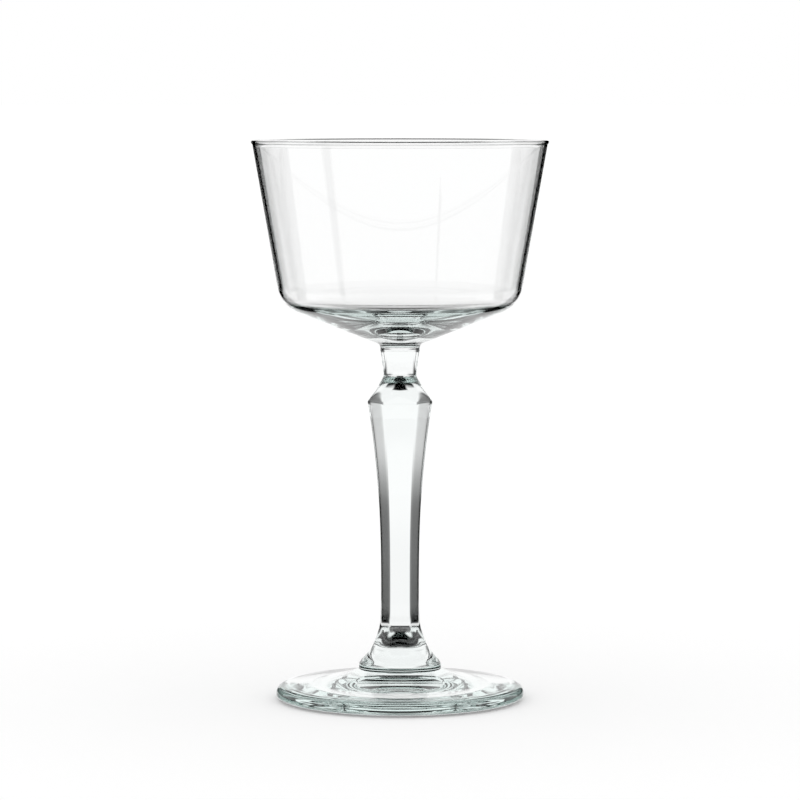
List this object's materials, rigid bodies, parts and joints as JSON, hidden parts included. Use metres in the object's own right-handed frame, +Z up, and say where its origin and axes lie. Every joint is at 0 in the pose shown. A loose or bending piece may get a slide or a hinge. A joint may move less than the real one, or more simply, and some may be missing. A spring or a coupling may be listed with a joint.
{
  "type": "cocktail glass",
  "caption": "Clear stemmed cocktail glass: flared bowl with a rounded lower corner, faceted tapering stem with a waisted neck, and a round dished foot to stand on.",
  "frame": {"origin": "on the table under the middle of the foot, on the axis of the glass", "axes": "+Z up along the axis of the glass; -Y faces the viewer, square to one flat of the stem; +X to the viewer's right"},
  "size_m": [0.089, 0.089, 0.1682],
  "materials": {
    "clear_glass": "fire polished, clear with a faint green edge"
  },
  "bodies": {
    "root": {"foot": "clear_glass", "stem": "clear_glass", "bowl": "clear_glass"}
  },
  "joints": []
}
